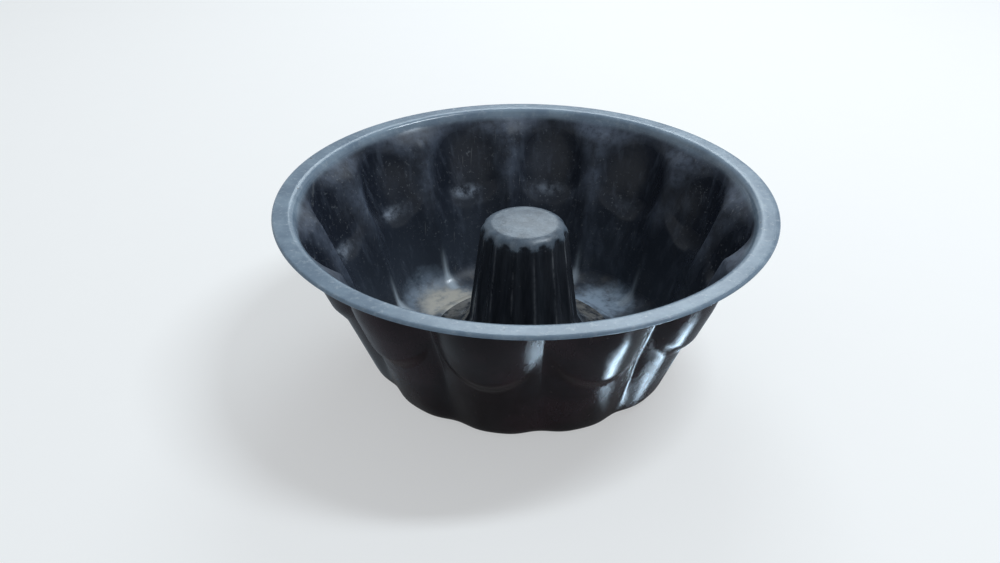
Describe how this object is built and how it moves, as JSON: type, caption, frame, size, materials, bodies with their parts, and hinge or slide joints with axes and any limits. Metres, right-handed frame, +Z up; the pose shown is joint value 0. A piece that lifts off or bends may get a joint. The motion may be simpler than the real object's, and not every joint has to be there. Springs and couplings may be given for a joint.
{
  "type": "fluted ring cake mould",
  "caption": "Round lobed cake mould of dark coated sheet steel, with a flat flange, a rolled edge and a closed fluted centre tube, seamed into its floor.",
  "frame": {"origin": "centre of the resting face", "axes": "+Z up along the axis of the mould; the first lobe's crest lies 9 degrees from -Y, turned towards -X"},
  "size_m": [0.24, 0.24, 0.088],
  "materials": {
    "pan_coating": "satin non-stick coating",
    "tube_coating": "glossy non-stick coating",
    "wire_steel": "bare drawn wire"
  },
  "bodies": {
    "root": {"pan_shell": "pan_coating", "centre_tube": "tube_coating", "rim_wire": "wire_steel"}
  },
  "joints": []
}
